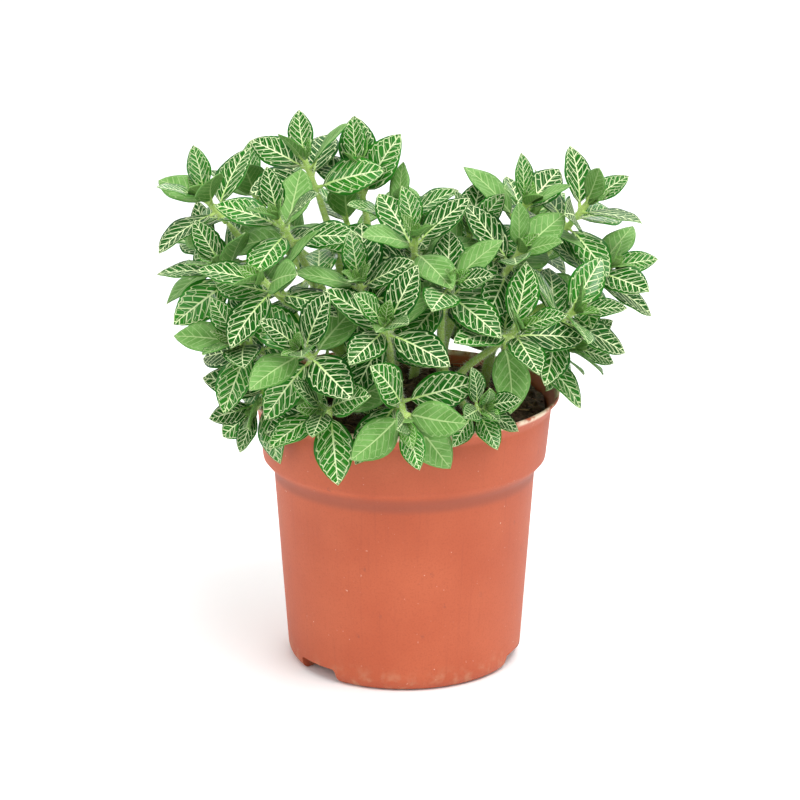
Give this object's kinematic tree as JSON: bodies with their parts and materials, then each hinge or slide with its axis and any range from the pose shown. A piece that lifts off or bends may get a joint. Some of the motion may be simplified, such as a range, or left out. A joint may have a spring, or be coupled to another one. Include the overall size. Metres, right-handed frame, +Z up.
{
  "type": "potted nerve plant",
  "caption": "Bushy nerve plant with white-veined leaves in a round, tapered plastic nursery pot with a stepped band, flared lip and drainage slots.",
  "frame": {"origin": "under the middle of the plant's outline, on the surface the pot stands on", "axes": "+Z up, -Y the front; the pot's axis is parallel to Z, a few millimetres from it"},
  "size_m": [0.1914, 0.1798, 0.2133],
  "materials": {
    "pot": "matte",
    "soil": "matte",
    "stem": "satin",
    "leaf": "satin"
  },
  "bodies": {
    "root": {"older_leaves_01": "leaf", "older_leaves_02": "leaf", "older_leaves_03": "leaf", "older_leaves_04": "leaf", "older_leaves_05": "leaf", "older_leaves_06": "leaf", "older_leaves_07": "leaf", "older_leaves_08": "leaf", "older_leaves_09": "leaf", "older_leaves_10": "leaf", "older_leaves_11": "leaf", "older_leaves_12": "leaf", "pot": "pot", "root_ball": "soil", "shoot_tip_01": "leaf", "shoot_tip_02": "leaf", "shoot_tip_03": "leaf", "shoot_tip_04": "leaf", "shoot_tip_05": "leaf", "shoot_tip_06": "leaf", "shoot_tip_07": "leaf", "shoot_tip_08": "leaf", "shoot_tip_09": "leaf", "shoot_tip_10": "leaf", "shoot_tip_11": "leaf", "shoot_tip_12": "leaf", "shoot_tip_13": "leaf", "shoot_tip_14": "leaf", "shoot_tip_15": "leaf", "shoot_tip_16": "leaf", "shoot_tip_17": "leaf", "shoot_tip_18": "leaf", "shoot_tip_19": "leaf", "shoot_tip_20": "leaf", "shoot_tip_21": "leaf", "shoot_tip_22": "leaf", "shoot_tip_23": "leaf", "shoot_tip_24": "leaf", "shoot_tip_25": "leaf", "shoot_tip_26": "leaf", "shoot_tip_27": "leaf", "shoot_tip_28": "leaf", "shoot_tip_29": "leaf", "shoot_tip_30": "leaf", "shoot_tip_31": "leaf", "shoot_tip_32": "leaf", "shoot_tip_33": "leaf", "shoot_tip_34": "leaf", "stem_back": "stem", "stem_back_left": "stem", "stem_back_middle": "stem", "stem_back_right": "stem", "stem_centre_right": "stem", "stem_front": "stem", "stem_front_left": "stem", "stem_front_right": "stem", "stem_left": "stem", "stem_middle": "stem", "stem_right": "stem", "stem_rim_left": "stem"}
  },
  "joints": []
}
